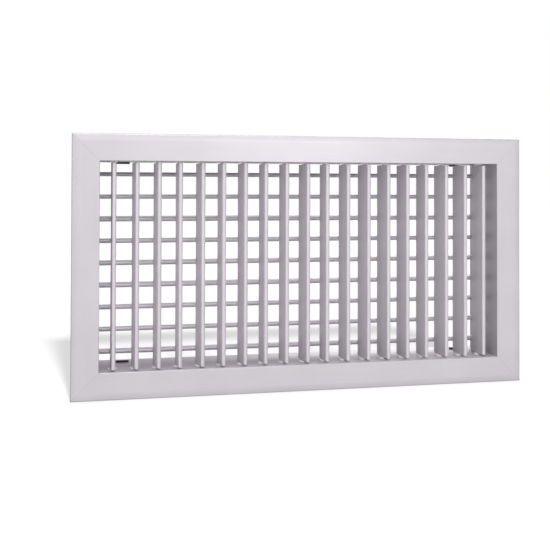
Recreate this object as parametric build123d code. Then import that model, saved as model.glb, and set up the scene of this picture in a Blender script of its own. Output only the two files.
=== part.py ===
from build123d import *
import os
from math import sqrt

# Double deflection supply air grille, in millimetres.
# Origin: centre of the opening in the wall plane, which is the back of the face flange.
# X runs to the right seen from the room, Y runs into the wall, Z is up.

# Driving dimensions of the frame
opening_width = 385.0
opening_height = 189.0
flange_width = 24.7
flange_depth = 6.0
neck_depth = 54.0
sheet = 1.5

# Face of the flange
bevel_width = 6.0
bevel_drop = 0.45
edge_radius = 1.2
mouth_radius = 0.5

# Key channel on the back of the flange, and the keys that join the corners
neck_to_rib = 4.0
rib_thickness = 1.2
rib_hook = 1.0
rib_to_bevel = 0.4
key_thickness = 1.8
key_arm = 36.0
key_clearance = 0.1
mitre_clearance = 0.03

# Blade section, measured from the pivot axis
nose_reach = 11.2
nose_radius = 1.95
tail_reach = 11.3
tail_radius = 0.9
crease_thickness = 2.6
web_thickness = 3.2

# Blade rows. The edge gap is from the neck's inside to the first and the last blade.
front_count = 19
front_edge_gap = 12.5
front_axis_from_face = 16.0
rear_count = 9
rear_edge_gap = 11.4
rear_axis_from_back = 13.0

# Pivots and the bushes that carry them
pivot_radius = 1.5
pivot_clearance = 0.06
pivot_tip_gap = 0.4
collar_radius = 4.25
collar_thickness = 0.9
collar_to_blade = 0.6
bush_radius = 3.0
bush_seat_clearance = 0.05
rim_radius = 3.8
rim_thickness = 0.9

# Spring clips that hold the neck in its opening
clip_inset = 23.0
clip_width = 13.0
clip_sheet = 0.8
clip_from_back = 13.0
clip_inside_reach = 1.7
clip_slot_clearance = 0.3
clip_bend_radius = 1.0
clip_to_bush = 1.2
clip_leaf_rise = 7.0
clip_pad_length = 5.0
clip_pad_drop = 2.5

# Angle at which each blade stands, in degrees.
# Front: nose towards +X is positive. Rear: nose up is positive.
# A row with more blades starts the list again.
front_angles = [2.3, 5.6, 6.3, 2.4, 6.7, 3.6, 6.1, 2.7, 3.6, 6.4,
                0.6, 4.1, 6.3, 6.6, 4.3, 1.1, 5.5, 5.3, 2.1]
rear_angles = [-0.9, -1.9, -4.2, -0.8, -0.3, 0.4, 3.4, 5.2, 5.2]

# Sizes worked out from the values above
face_y = -flange_depth
front_axis_y = face_y + front_axis_from_face
rear_axis_y = neck_depth - rear_axis_from_back
clip_y = neck_depth - clip_from_back
half_width = opening_width / 2
half_height = opening_height / 2
flange_back_y = face_y + sheet
bevel_start = flange_width - bevel_width
key_y = flange_back_y + key_clearance
hook_y = key_y + key_thickness + key_clearance
first_rib = sheet + neck_to_rib
key_inner = first_rib + rib_thickness + key_clearance
second_rib = bevel_start - rib_to_bevel - rib_thickness
key_width = second_rib - key_clearance - key_inner
hole_radius = bush_radius + bush_seat_clearance
blade_end_gap = collar_thickness + collar_to_blade
bush_tail = sheet + rim_thickness
leaf_start = clip_y - clip_bend_radius
leaf_end = front_axis_y + rim_radius + clip_to_bush + clip_pad_length
clip_leaf_length = leaf_start - leaf_end


def blade_row(count, span, edge_gap):
    """Places of the blades across an opening, evenly spaced between the edge gaps."""
    reach = span / 2 - edge_gap
    pitch = 2 * reach / (count - 1)
    return [i * pitch - reach for i in range(count)]


def frame_section():
    """Section of the frame: first value outward from the opening, second into the wall."""
    outer = flange_width
    hook_back = hook_y + rib_thickness
    first_inner = first_rib + rib_thickness
    outline = Polyline(
        (0, neck_depth),
        (0, face_y),
        (bevel_start, face_y),
        (outer, face_y + bevel_drop),
        (outer, 0),
        (outer - sheet, 0),
        (outer - sheet, flange_back_y + bevel_drop),
        (bevel_start, flange_back_y),
        (second_rib + rib_thickness, flange_back_y),
        (second_rib + rib_thickness, hook_back),
        (second_rib - rib_hook, hook_back),
        (second_rib - rib_hook, hook_y),
        (second_rib, hook_y),
        (second_rib, flange_back_y),
        (first_inner, flange_back_y),
        (first_inner, hook_y),
        (first_inner + rib_hook, hook_y),
        (first_inner + rib_hook, hook_back),
        (first_rib, hook_back),
        (first_rib, flange_back_y),
        (sheet, flange_back_y),
        (sheet, neck_depth),
        close=True,
    )
    section = make_face(outline)
    outer_corner = section.vertices().sort_by_distance((outer, face_y + bevel_drop, 0))[0]
    section = fillet(outer_corner, edge_radius)
    mouth_corner = section.vertices().sort_by_distance((0, face_y, 0))[0]
    return fillet(mouth_corner, mouth_radius)


def frame_length(half_span):
    """One mitred length of the frame, with the opening's edge on Z = 0 and flange above."""
    reach = half_span + flange_width
    across = Plane(origin=(0, 0, 0), x_dir=(0, 0, 1), z_dir=(-1, 0, 0))
    bar = extrude(across * frame_section(), reach, both=True)
    mouth = half_span - mitre_clearance
    tip = reach - mitre_clearance
    mitre = make_face(Polyline(
        (-mouth, 0),
        (mouth, 0),
        (tip, flange_width),
        (-tip, flange_width),
        close=True,
    ))
    depth = flange_depth + neck_depth
    block = extrude(Plane.XZ * mitre, depth, both=True)
    return bar & block


def pivot_holes(length, places, axis_y):
    """Drills the bush holes through the neck wall of a frame length."""
    drill = Cylinder(hole_radius, 4 * sheet)
    for x in places:
        length -= Pos(x, axis_y, 0) * drill
    return length


def clip_slots(length):
    """Cuts the slots that the clip tabs pass through."""
    slot = Box(clip_width + 2 * clip_slot_clearance, clip_sheet + 2 * clip_slot_clearance, 4 * sheet)
    for x in clip_places:
        length -= Pos(x, clip_y, 0) * slot
    return length


def corner_key():
    """Flat L key that lies in the channels of two frame lengths, for the upper right corner."""
    inner = key_inner
    outer = key_inner + key_width
    arm = outer - key_arm
    outline = make_face(Polyline(
        (half_width + arm, half_height + inner),
        (half_width + inner, half_height + inner),
        (half_width + inner, half_height + arm),
        (half_width + outer, half_height + arm),
        (half_width + outer, half_height + outer),
        (half_width + arm, half_height + outer),
        close=True,
    ))
    return Pos(0, key_y, 0) * extrude(Plane.XZ * outline, -key_thickness)


def blade_section():
    """Aerofoil section: rounded nose towards -Y, crease behind it, thin rounded tail."""
    crease = crease_thickness / 2
    middle = web_thickness / 2
    crease_y = -nose_reach + sqrt(nose_radius ** 2 - crease ** 2)
    nose_tip = -nose_reach - nose_radius
    tail_tip = tail_reach + tail_radius
    nose = ThreePointArc((-crease, crease_y), (0, nose_tip), (crease, crease_y))
    right = ThreePointArc((crease, crease_y), (middle, 0), (tail_radius, tail_reach))
    tail = ThreePointArc((tail_radius, tail_reach), (0, tail_tip), (-tail_radius, tail_reach))
    left = ThreePointArc((-tail_radius, tail_reach), (-middle, 0), (-crease, crease_y))
    return make_face([nose, right, tail, left])


def blade(span):
    """Upright blade with a round pivot milled on each end, its axis on Z."""
    half = span / 2 - blade_end_gap
    pivot_end = span / 2 + bush_tail - pivot_tip_gap
    body = extrude(blade_section(), half, both=True)
    pivot = Cylinder(pivot_radius, 2 * pivot_end)
    return body + pivot


def bush():
    """Snap-in bush seen from inside the neck: collar below Z = 0, body and rim above."""
    profile = make_face(Polyline(
        (pivot_radius + pivot_clearance, -collar_thickness),
        (collar_radius, -collar_thickness),
        (collar_radius, 0),
        (bush_radius, 0),
        (bush_radius, sheet),
        (rim_radius, sheet),
        (bush_radius, bush_tail),
        (pivot_radius + pivot_clearance, bush_tail),
        close=True,
    ))
    return revolve(Plane.XZ * profile, Axis.Z)


def bush_row(places, axis_y):
    """Bushes for one neck wall, which lies on Z = 0 with the opening below it."""
    one = bush()
    return [Pos(x, axis_y, 0) * one for x in places]


def spring_clip():
    """Bent strip: tab through the neck wall, leaf rising towards the flange, folded pad."""
    foot = sheet + clip_bend_radius
    leaf_y = -clip_bend_radius - clip_leaf_length
    line = FilletPolyline(
        (0, -clip_inside_reach),
        (0, foot),
        (leaf_y, foot + clip_leaf_rise),
        (leaf_y - clip_pad_length, foot + clip_leaf_rise - clip_pad_drop),
        radius=clip_bend_radius,
    )
    strip = trace(line, clip_sheet)
    return extrude(Plane.YZ * strip, clip_width / 2, both=True)


def to_wall(side):
    """Location that takes a thing made for Z = 0 to one wall of the neck."""
    places = {
        "top": Pos(0, 0, half_height),
        "bottom": Pos(0, 0, -half_height) * Rot(0, 180, 0),
        "right": Pos(half_width, 0, 0) * Rot(0, 90, 0),
        "left": Pos(-half_width, 0, 0) * Rot(0, -90, 0),
    }
    return places[side]


def write(name, solids):
    """Saves one node as its own STEP file."""
    shape = solids[0] if len(solids) == 1 else Compound(children=solids)
    export_step(shape, os.path.join("parts", name + ".step"))


os.makedirs("parts", exist_ok=True)
front_places = blade_row(front_count, opening_width, front_edge_gap)
rear_places = blade_row(rear_count, opening_height, rear_edge_gap)
clip_places = (clip_inset - half_width, half_width - clip_inset)

# Frame lengths
long_length = clip_slots(pivot_holes(frame_length(half_width), front_places, front_axis_y))
short_length = pivot_holes(frame_length(half_height), rear_places, rear_axis_y)
write("frame_top", [to_wall("top") * long_length])
write("frame_bottom", [to_wall("bottom") * long_length])
write("frame_left", [to_wall("left") * short_length])
write("frame_right", [to_wall("right") * short_length])

# Corner keys
key = corner_key()
write("corner_key_top_right", [key])
write("corner_key_top_left", [mirror(key, Plane.YZ)])
write("corner_key_bottom_right", [mirror(key, Plane.XY)])
write("corner_key_bottom_left", [mirror(mirror(key, Plane.XY), Plane.YZ)])

# Bushes
for side in ("top", "bottom"):
    bushes = bush_row(front_places, front_axis_y)
    write("front_bushes_" + side, [to_wall(side) * one for one in bushes])
for side in ("left", "right"):
    bushes = bush_row(rear_places, rear_axis_y)
    write("rear_bushes_" + side, [to_wall(side) * one for one in bushes])

# Spring clips
clip = spring_clip()
for side in ("top", "bottom"):
    for end, x in zip(("left", "right"), clip_places):
        placed = Pos(x, 0, 0) * to_wall(side) * Pos(0, clip_y, 0) * clip
        write("spring_clip_" + side + "_" + end, [placed])

# Front blades, left to right
upright = blade(opening_height)
for number, x in enumerate(front_places):
    angle = front_angles[number % len(front_angles)]
    turned = Pos(x, front_axis_y, 0) * Rot(0, 0, angle) * upright
    write("front_blade_%02d" % (number + 1), [turned])

# Rear blades, top to bottom
level = Rot(0, 90, 0) * blade(opening_width)
for number, z in enumerate(reversed(rear_places)):
    angle = rear_angles[number % len(rear_angles)]
    turned = Pos(0, rear_axis_y, z) * Rot(-angle, 0, 0) * level
    write("rear_blade_%02d" % (number + 1), [turned])
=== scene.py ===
from math import cos, sin
import bpy
from mathutils import Matrix, Vector


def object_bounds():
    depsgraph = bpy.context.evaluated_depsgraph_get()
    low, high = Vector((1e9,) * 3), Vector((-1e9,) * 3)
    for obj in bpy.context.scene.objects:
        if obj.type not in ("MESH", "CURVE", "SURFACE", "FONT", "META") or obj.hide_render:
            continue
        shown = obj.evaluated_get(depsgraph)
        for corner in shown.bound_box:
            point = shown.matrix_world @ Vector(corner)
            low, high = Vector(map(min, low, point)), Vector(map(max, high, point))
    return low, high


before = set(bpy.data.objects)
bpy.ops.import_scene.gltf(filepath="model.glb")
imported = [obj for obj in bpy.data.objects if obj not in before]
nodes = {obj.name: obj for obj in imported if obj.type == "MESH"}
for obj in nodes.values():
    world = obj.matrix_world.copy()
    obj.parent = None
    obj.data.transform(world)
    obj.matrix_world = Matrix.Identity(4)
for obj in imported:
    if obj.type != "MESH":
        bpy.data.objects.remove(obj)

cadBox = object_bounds()   # lowest and highest corner of the solids, metres
scene = bpy.context.scene
print("grille loaded:", len(nodes), "nodes")


# node helpers

white = (1.0, 1.0, 1.0, 1.0)
fullRange = (0.0, 1.0)
noiseRange = (0.3, 0.7)   # what a noise texture mostly fills of its 0 to 1
everyWay = (1.0, 1.0, 1.0)
levelOnly = (1.0, 1.0, 0.0)   # leaves the height out of a distance


def addNode(tree, kind, **settings):
    node = tree.nodes.new(kind)
    for key, value in settings.items():
        setattr(node, key, value)
    return node


def emptyTree(block, outputKind):   # block is a material or a world
    block.use_nodes = True
    tree = block.node_tree
    tree.nodes.clear()
    return tree, addNode(tree, outputKind).inputs["Surface"]


def newMaterial(name):
    material = bpy.data.materials.new(name)
    tree, surface = emptyTree(material, "ShaderNodeOutputMaterial")
    shader = addNode(tree, "ShaderNodeBsdfPrincipled")
    tree.links.new(shader.outputs["BSDF"], surface)
    return material, tree, shader


def objectCoordinates(tree, scale=everyWay):
    coordinates = addNode(tree, "ShaderNodeTexCoord")
    mapping = addNode(tree, "ShaderNodeMapping")
    mapping.inputs["Scale"].default_value = scale
    tree.links.new(coordinates.outputs["Object"], mapping.inputs["Vector"])
    return mapping.outputs["Vector"]


def noise(tree, vector, scale, detail, roughness):
    texture = addNode(tree, "ShaderNodeTexNoise")
    texture.inputs["Scale"].default_value = scale
    texture.inputs["Detail"].default_value = detail
    texture.inputs["Roughness"].default_value = roughness
    tree.links.new(vector, texture.inputs["Vector"])
    return texture.outputs["Fac"]


def remap(tree, value, toRange, fromRange=noiseRange):
    ranger = addNode(tree, "ShaderNodeMapRange")
    ranger.inputs["From Min"].default_value, ranger.inputs["From Max"].default_value = fromRange
    ranger.inputs["To Min"].default_value, ranger.inputs["To Max"].default_value = toRange
    tree.links.new(value, ranger.inputs["Value"])
    return ranger.outputs["Result"]


def fadeIn(tree, value, fromRange):    # 0 before the range, 1 beyond it
    return remap(tree, value, fullRange, fromRange)


def fadeOut(tree, value, fromRange):   # 1 before the range, 0 beyond it
    return remap(tree, value, fullRange[::-1], fromRange)


def maths(tree, operation, *values):   # each value is a number or another node's output
    node = addNode(tree, "ShaderNodeMath", operation=operation)
    for socket, value in zip(node.inputs, values):
        if isinstance(value, (int, float)):
            socket.default_value = value
        else:
            tree.links.new(value, socket)
    return node.outputs[0]


def mixColours(tree, factor, first, second):
    mixer = addNode(tree, "ShaderNodeMix", data_type="RGBA")
    mixer.inputs["A"].default_value = (*first, 1.0)
    mixer.inputs["B"].default_value = (*second, 1.0)
    tree.links.new(factor, mixer.inputs["Factor"])
    return mixer.outputs["Result"]


def multiplyColour(tree, factor, colour, tone):
    mixer = addNode(tree, "ShaderNodeMix", data_type="RGBA", blend_type="MULTIPLY")
    tree.links.new(factor, mixer.inputs["Factor"])
    tree.links.new(colour, mixer.inputs["A"])
    mixer.inputs["B"].default_value = (tone, tone, tone, 1.0)
    return mixer.outputs["Result"]


def addBump(tree, shader, height, strength, distance):
    bump = addNode(tree, "ShaderNodeBump")
    bump.inputs["Strength"].default_value = strength
    bump.inputs["Distance"].default_value = distance
    tree.links.new(height, bump.inputs["Height"])
    tree.links.new(bump.outputs["Normal"], shader.inputs["Normal"])


def mixShaders(tree, factor, first, second, surface):
    mixer = addNode(tree, "ShaderNodeMixShader")
    tree.links.new(factor, mixer.inputs["Fac"])
    tree.links.new(first.outputs[0], mixer.inputs[1])
    tree.links.new(second.outputs[0], mixer.inputs[2])
    tree.links.new(mixer.outputs[0], surface)


def whiteRays(tree):   # 1 for what the camera sees straight, in a reflection or through glass
    path = addNode(tree, "ShaderNodeLightPath")
    seen = maths(tree, "MAXIMUM", path.outputs["Is Camera Ray"], path.outputs["Is Glossy Ray"])
    return maths(tree, "MAXIMUM", seen, path.outputs["Is Transmission Ray"])


# satin anodised aluminium, with the die lines of the extrusion along its length

anodised = {
    "dark": (0.544, 0.514, 0.551),
    "light": (0.595, 0.563, 0.601),
    "metallic": 0.45,
    "stretch": 0.012,              # less than 1 draws a die line out along the grain
    "lines": (1400.0, 4.0, 0.6),   # die lines per metre across the grain, detail, roughness
    "cloud": (24.0, 2.0, 0.5),     # the same for the broad, faint patches
    "cloudShare": 0.5,             # of the colour's change, the rest is from the lines
    "bump": (0.35, 0.00002),       # strength, depth in metres
}
frameFinish = {
    "tone": 1.01,
    "roughness": (0.30, 0.38),
    "neckFrom": (-0.00597, -0.00550),   # depth over which the face turns into the neck, metres
    "neckShadeTone": 0.87,                   # painted shade: neck and bevel are darker than the face, as shade inside the neck
    "neckRoughness": 0.14,              # added to theirs
    "mitreLine": (0.00015, 0.00045),    # the joint's dark line fades out between these, metres
    "mitreTone": 0.88,
    "rimShadeLine": (0.0005, 0.0010),        # painted shade: the rim's darker line, from the outer edge inward
    "rimShadeTone": 0.70,
    "mouthEdge": (0.02412, 0.02435),    # where the mouth's rounding starts, from the outer edge
    "mouthDepth": (-0.0054, -0.0048),   # and the depth over which its painted shade line fades out
    "mouthShadeTone": 0.70,
}
bladeFinish = {
    "tone": 1.05,
    "roughness": (0.50, 0.60),
}


def shadeFrame(tree, colour, roughness):   # neck, mitres, rim and mouth, by place on the frame; painted shade on the neck, rim and mouth, and dark mitre joints
    place = addNode(tree, "ShaderNodeSeparateXYZ")
    tree.links.new(objectCoordinates(tree), place.inputs[0])
    depth = place.outputs["Y"]
    aside = maths(tree, "ABSOLUTE", place.outputs["X"])
    above = maths(tree, "ABSOLUTE", place.outputs["Z"])
    halfWidth, _, halfHeight = cadBox[1]

    inNeck = fadeIn(tree, depth, frameFinish["neckFrom"])
    # painted shade: the neck and bevel are darkened where shade falls inside the neck
    colour = multiplyColour(tree, inNeck, colour, frameFinish["neckShadeTone"])
    roughness = maths(tree, "MULTIPLY_ADD", inNeck, frameFinish["neckRoughness"], roughness)

    lean = maths(tree, "SUBTRACT", aside, above)
    offMitre = maths(tree, "ABSOLUTE", maths(tree, "SUBTRACT", lean, halfWidth - halfHeight))
    onMitre = fadeOut(tree, offMitre, frameFinish["mitreLine"])
    colour = multiplyColour(tree, onMitre, colour, frameFinish["mitreTone"])

    fromSide = maths(tree, "SUBTRACT", halfWidth, aside)
    fromTop = maths(tree, "SUBTRACT", halfHeight, above)
    fromEdge = maths(tree, "MINIMUM", fromSide, fromTop)
    # painted shade: a dark line along the outer rim, where the return lies in shade
    onRimShade = fadeOut(tree, fromEdge, frameFinish["rimShadeLine"])
    colour = multiplyColour(tree, onRimShade, colour, frameFinish["rimShadeTone"])

    # painted shade: a dark line where the face rounds into the neck
    pastMouth = fadeIn(tree, fromEdge, frameFinish["mouthEdge"])
    nearFace = fadeOut(tree, depth, frameFinish["mouthDepth"])
    onMouthShade = maths(tree, "MULTIPLY", pastMouth, nearFace)
    return multiplyColour(tree, onMouthShade, colour, frameFinish["mouthShadeTone"]), roughness


def anodisedAluminium(name, grainAxis, finish):
    material, tree, shader = newMaterial(name)
    grain = list(everyWay)
    grain["XYZ".index(grainAxis)] = anodised["stretch"]
    lines = noise(tree, objectCoordinates(tree, grain), *anodised["lines"])
    cloud = noise(tree, objectCoordinates(tree), *anodised["cloud"])
    cloudPart = maths(tree, "MULTIPLY", cloud, anodised["cloudShare"])
    blend = maths(tree, "MULTIPLY_ADD", lines, 1.0 - anodised["cloudShare"], cloudPart)
    dark = tuple(finish["tone"] * c for c in anodised["dark"])
    light = tuple(finish["tone"] * c for c in anodised["light"])
    colour = mixColours(tree, remap(tree, blend, fullRange), dark, light)
    roughness = remap(tree, lines, finish["roughness"])
    if finish is frameFinish:
        colour, roughness = shadeFrame(tree, colour, roughness)
    tree.links.new(colour, shader.inputs["Base Color"])
    tree.links.new(roughness, shader.inputs["Roughness"])
    shader.inputs["Metallic"].default_value = anodised["metallic"]
    addBump(tree, shader, lines, *anodised["bump"])
    return material


# natural nylon of the bushes

nylon = {
    "dark": (0.80, 0.79, 0.78),
    "light": (0.88, 0.875, 0.87),
    "cloud": (900.0, 3.0, 0.5),
    "roughness": 0.45,
    "subsurface": 0.2,
    "subsurfaceRadius": (0.0012, 0.0010, 0.0009),   # metres, for red, green and blue
    "bump": (0.3, 0.00003),
}


def bushNylon():
    material, tree, shader = newMaterial("bushNylon")
    cloud = noise(tree, objectCoordinates(tree), *nylon["cloud"])
    colour = mixColours(tree, remap(tree, cloud, fullRange), nylon["dark"], nylon["light"])
    tree.links.new(colour, shader.inputs["Base Color"])
    shader.inputs["Roughness"].default_value = nylon["roughness"]
    shader.inputs["Subsurface Weight"].default_value = nylon["subsurface"]
    shader.inputs["Subsurface Radius"].default_value = nylon["subsurfaceRadius"]
    addBump(tree, shader, cloud, *nylon["bump"])
    return material


# black spring steel of the clips

springSteel = {
    "dark": (0.010, 0.010, 0.012),
    "light": (0.030, 0.030, 0.034),
    "mottle": (420.0, 4.0, 0.6),
    "roughness": (0.34, 0.55),
    "metallic": 0.4,
    "bump": (0.3, 0.00003),
}


def clipSteel():
    material, tree, shader = newMaterial("clipSteel")
    mottle = noise(tree, objectCoordinates(tree), *springSteel["mottle"])
    shade = remap(tree, mottle, fullRange)
    colour = mixColours(tree, shade, springSteel["dark"], springSteel["light"])
    tree.links.new(colour, shader.inputs["Base Color"])
    tree.links.new(remap(tree, mottle, springSteel["roughness"]), shader.inputs["Roughness"])
    shader.inputs["Metallic"].default_value = springSteel["metallic"]
    addBump(tree, shader, mottle, *springSteel["bump"])
    return material


# zinc plate of the corner keys

zinc = {
    "dark": (0.42, 0.43, 0.45),
    "light": (0.62, 0.63, 0.65),
    "spangle": 260.0,             # flakes of the plating per metre
    "spangleReach": (0.0, 0.8),   # from a flake's middle, dark, outward to light
    "roughness": (0.28, 0.42),
    "metallic": 0.95,
    "grain": (700.0, 3.0, 0.5),
    "bump": (0.2, 0.00002),
}


def keySteel():
    material, tree, shader = newMaterial("keySteel")
    vector = objectCoordinates(tree)
    spangle = addNode(tree, "ShaderNodeTexVoronoi")
    spangle.inputs["Scale"].default_value = zinc["spangle"]
    tree.links.new(vector, spangle.inputs["Vector"])
    shade = remap(tree, spangle.outputs["Distance"], fullRange, zinc["spangleReach"])
    colour = mixColours(tree, shade, zinc["dark"], zinc["light"])
    tree.links.new(colour, shader.inputs["Base Color"])
    roughness = remap(tree, shade, zinc["roughness"], fullRange)
    tree.links.new(roughness, shader.inputs["Roughness"])
    shader.inputs["Metallic"].default_value = zinc["metallic"]
    addBump(tree, shader, noise(tree, vector, *zinc["grain"]), *zinc["bump"])
    return material


# the finish of each node, by how its name starts

looks = {
    ("frame_top", "frame_bottom"): anodisedAluminium("anodisedAlongX", "X", frameFinish),
    ("frame_left", "frame_right"): anodisedAluminium("anodisedAlongZ", "Z", frameFinish),
    ("rear_blade",): anodisedAluminium("bladeAlongX", "X", bladeFinish),
    ("front_blade",): anodisedAluminium("bladeAlongZ", "Z", bladeFinish),
    ("front_bushes", "rear_bushes"): bushNylon(),
    ("spring_clip",): clipSteel(),
    ("corner_key",): keySteel(),
}
for name in nodes:
    mesh = nodes[name].data
    mesh.materials.clear()
    mesh.materials.append(next(look for starts, look in looks.items() if name.startswith(starts)))
print("materials set on", len(nodes), "nodes")


# floor under the lower edge of the flange, lit by a lamp of its own

floorLook = {
    "halfSize": 6.0,
    "shade": 0.95,                # diffuse part, which takes the shadow
    "shadowWeight": 0.36,         # its share near the grille, the rest glows white
    "shadowFade": (0.40, 1.00),   # metres from the grille over which that share fades out
    "glow": 1.065,                # strength of the white part
    "contactReach": 0.035,        # metres, the faint shade along the grille's lower edge
    "contactTone": 0.80,          # its darkest tone, reached where half the room is hidden
    "contactHidden": 0.5,
}


def makeFloor():
    z = cadBox[0][2]
    half = floorLook["halfSize"]
    mesh = bpy.data.meshes.new("floor")
    corners = [(-half, -half, z), (half, -half, z), (half, half, z), (-half, half, z)]
    mesh.from_pydata(corners, [], [(0, 1, 2, 3)])
    floor = bpy.data.objects.new("floor", mesh)
    scene.collection.objects.link(floor)
    material = bpy.data.materials.new("floorWhite")
    tree, surface = emptyTree(material, "ShaderNodeOutputMaterial")
    contact = addNode(tree, "ShaderNodeAmbientOcclusion")
    contact.inputs["Distance"].default_value = floorLook["contactReach"]
    shade = remap(tree, contact.outputs["AO"],
                  (floorLook["contactTone"], 1.0), (floorLook["contactHidden"], 1.0))
    matte = addNode(tree, "ShaderNodeBsdfDiffuse")
    tree.links.new(maths(tree, "MULTIPLY", shade, floorLook["shade"]), matte.inputs["Color"])
    glow = addNode(tree, "ShaderNodeEmission")
    tree.links.new(shade, glow.inputs["Color"])
    glow.inputs["Strength"].default_value = floorLook["glow"]
    distance = addNode(tree, "ShaderNodeVectorMath", operation="LENGTH")
    tree.links.new(objectCoordinates(tree, levelOnly), distance.inputs[0])
    glowPart = remap(tree, distance.outputs["Value"],
                     (1.0 - floorLook["shadowWeight"], 1.0), floorLook["shadowFade"])
    mixShaders(tree, maths(tree, "MULTIPLY", whiteRays(tree), glowPart), matte, glow, surface)
    mesh.materials.append(material)
    return floor


floor = makeFloor()
print("floor laid")


# soft light: a dim room, a wide lamp above, a key lamp high in front, fillers in front,
# at the left and behind, and a strong far lamp that lights the floor alone

light = {
    "room": 0.04,   # strength of the white world
    # name: place in metres, size, power in watts, what it lights
    "lamps": {
        "topLamp": ((0.0, -0.5, 1.9), 1.2, 31.0, "grille"),
        "keyLamp": ((-0.12, -1.62, 1.29), 0.24, 10.0, "grille"),
        "sheenLamp": ((0.47, -1.8, 0.39), 0.3, 1.9, "grille"),
        "leftLamp": ((-1.5, -1.1, 0.1), 1.0, 6.4, "grille"),
        "backLamp": ((1.0, 2.0, 0.8), 1.2, 14.0, "grille"),
        "shadowLamp": ((0.06, -4.05, 3.05), 0.4, 450.0, "floor"),
    },
}


def makeWorld():
    world = bpy.data.worlds.new("room")
    scene.world = world
    tree, surface = emptyTree(world, "ShaderNodeOutputWorld")
    room = addNode(tree, "ShaderNodeBackground")
    room.inputs["Color"].default_value = white
    room.inputs["Strength"].default_value = light["room"]
    seen = addNode(tree, "ShaderNodeBackground")
    seen.inputs["Color"].default_value = white
    mixShaders(tree, whiteRays(tree), room, seen, surface)


def linkGroup(name, members, state):   # state says whether the lamp takes or leaves the members
    group = bpy.data.collections.new(name)
    for member in members:
        group.objects.link(member)
    for entry in group.collection_objects:
        entry.light_linking.link_state = state
    return group


def makeLamp(name, place, size, power, lights):
    lamp = bpy.data.lights.new(name, "AREA")
    lamp.shape = "DISK"
    lamp.size = size
    lamp.energy = power
    holder = bpy.data.objects.new(name, lamp)
    scene.collection.objects.link(holder)
    holder.location = place
    holder.rotation_euler = (-Vector(place)).to_track_quat("-Z", "Y").to_euler()
    state = "INCLUDE" if lights == "floor" else "EXCLUDE"
    linking = holder.light_linking
    linking.receiver_collection = linkGroup(name + "Receivers", [floor], state)
    if lights == "floor":   # level blades don't shade the floor, so its shade inside stays faint
        levelBlades = [nodes[node] for node in nodes if node.startswith("rear_blade")]
        linking.blocker_collection = linkGroup(name + "Blockers", levelBlades, "EXCLUDE")


makeWorld()
for lampName, lampValues in light["lamps"].items():
    makeLamp(lampName, *lampValues)
print("lamps set:", len(light["lamps"]))


# camera of the photograph

view = {
    "place": (-0.22122, -0.80779, 0.07278),   # metres
    "turnRight": 0.2190,                      # radians, as the next two
    "tiltUp": 0.0160,
    "roll": 0.0030,
    "lens": 57.94,                            # millimetres, as the sensor
    "sensorWidth": 36.0,
    "shift": (0.0201, -0.1884),               # right and up, in picture widths
    "clip": (0.01, 50.0),                     # nearest and farthest point drawn, metres
}


def makeCamera():
    yaw, pitch, roll = view["turnRight"], view["tiltUp"], view["roll"]
    forward = Vector((sin(yaw) * cos(pitch), cos(yaw) * cos(pitch), sin(pitch)))
    right = Vector((cos(yaw), -sin(yaw), 0.0))
    up = right.cross(forward)
    rolledRight = cos(roll) * right + sin(roll) * up
    rolledUp = -sin(roll) * right + cos(roll) * up
    matrix = Matrix((rolledRight, rolledUp, -forward)).transposed().to_4x4()
    matrix.translation = Vector(view["place"])
    data = bpy.data.cameras.new("camera")
    data.lens = view["lens"]
    data.sensor_width = view["sensorWidth"]
    data.sensor_fit = "HORIZONTAL"
    data.shift_x, data.shift_y = view["shift"]
    data.clip_start, data.clip_end = view["clip"]
    camera = bpy.data.objects.new("camera", data)
    camera.matrix_world = matrix
    scene.collection.objects.link(camera)
    scene.camera = camera


makeCamera()
scene.view_settings.view_transform = "Standard"
print("camera set")
